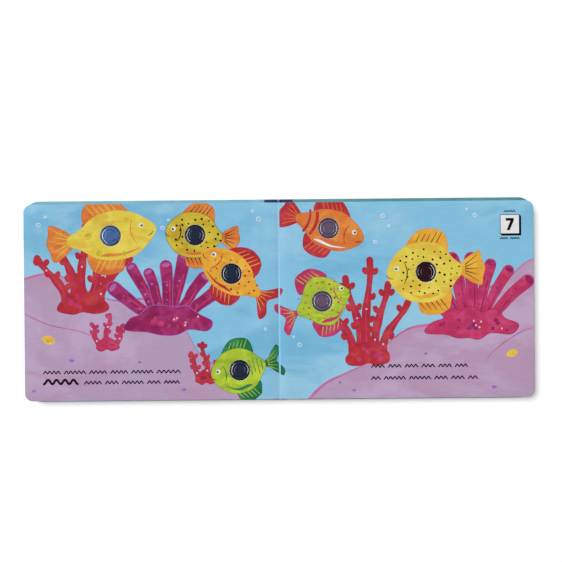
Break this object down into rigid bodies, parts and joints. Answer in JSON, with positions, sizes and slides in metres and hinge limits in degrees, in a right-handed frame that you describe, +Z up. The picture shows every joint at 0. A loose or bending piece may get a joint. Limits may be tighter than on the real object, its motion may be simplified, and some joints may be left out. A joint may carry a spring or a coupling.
{
  "type": "board book",
  "caption": "Board book lying open: thick board leaves in a hard case that closes about the gutter, with sprung press-and-click plastic caps set in the pages.",
  "frame": {"origin": "middle of the open book's underside, below the gutter", "axes": "+X across the open book to the right-hand page's fore edge, +Y to the head of the pages, +Z up out of the pages"},
  "size_m": [0.518, 0.204, 0.0144],
  "materials": {
    "page_board": "printed and laminated, satin gloss",
    "cover_board": "printed and laminated, satin gloss",
    "spine_paper": "printed and laminated, satin gloss",
    "popper_blue": "glossy, tinted",
    "popper_slate": "glossy, tinted",
    "popper_mauve": "glossy, tinted",
    "popper_maroon": "glossy, tinted"
  },
  "bodies": {
    "right_half": {"right_pages": "page_board", "spine": "spine_paper"},
    "left_half": {"left_pages": "page_board"},
    "front_board": {"front_cover": "cover_board"},
    "back_board": {"back_cover": "cover_board"},
    "popper_1_cap": {"popper_1": "popper_blue"},
    "popper_2_cap": {"popper_2": "popper_slate"},
    "popper_3_cap": {"popper_3": "popper_slate"},
    "popper_4_cap": {"popper_4": "popper_slate"},
    "popper_5_cap": {"popper_5": "popper_mauve"},
    "popper_6_cap": {"popper_6": "popper_mauve"},
    "popper_7_cap": {"popper_7": "popper_maroon"}
  },
  "joints": [
    {"name": "closing_hinge", "type": "hinge", "parent": "right_half", "child": "left_half", "pos_m": [0, 0, 0.01395], "axis": [0, 1, 0], "range_deg": [0, 180], "deforming": ["spine"]},
    {"name": "front_cover_hinge", "type": "hinge", "parent": "left_half", "child": "front_board", "pos_m": [-0.00115, 0, 0], "axis": [0, -1, 0], "range_deg": [0, 175]},
    {"name": "back_cover_hinge", "type": "hinge", "parent": "right_half", "child": "back_board", "pos_m": [0.00115, 0, 0], "axis": [0, 1, 0], "range_deg": [0, 175]},
    {"name": "popper_1_press", "type": "slide", "parent": "left_half", "child": "popper_1_cap", "axis": [0, 0, -1], "range_m": [0, 0.001], "stiffness_N_per_m": 250, "springref_m": -0.001},
    {"name": "popper_2_press", "type": "slide", "parent": "left_half", "child": "popper_2_cap", "axis": [0, 0, -1], "range_m": [0, 0.001], "stiffness_N_per_m": 250, "springref_m": -0.001},
    {"name": "popper_3_press", "type": "slide", "parent": "left_half", "child": "popper_3_cap", "axis": [0, 0, -1], "range_m": [0, 0.001], "stiffness_N_per_m": 250, "springref_m": -0.001},
    {"name": "popper_4_press", "type": "slide", "parent": "left_half", "child": "popper_4_cap", "axis": [0, 0, -1], "range_m": [0, 0.001], "stiffness_N_per_m": 250, "springref_m": -0.001},
    {"name": "popper_5_press", "type": "slide", "parent": "right_half", "child": "popper_5_cap", "axis": [0, 0, -1], "range_m": [0, 0.001], "stiffness_N_per_m": 250, "springref_m": -0.001},
    {"name": "popper_6_press", "type": "slide", "parent": "right_half", "child": "popper_6_cap", "axis": [0, 0, -1], "range_m": [0, 0.001], "stiffness_N_per_m": 250, "springref_m": -0.001},
    {"name": "popper_7_press", "type": "slide", "parent": "right_half", "child": "popper_7_cap", "axis": [0, 0, -1], "range_m": [0, 0.001], "stiffness_N_per_m": 250, "springref_m": -0.001}
  ]
}
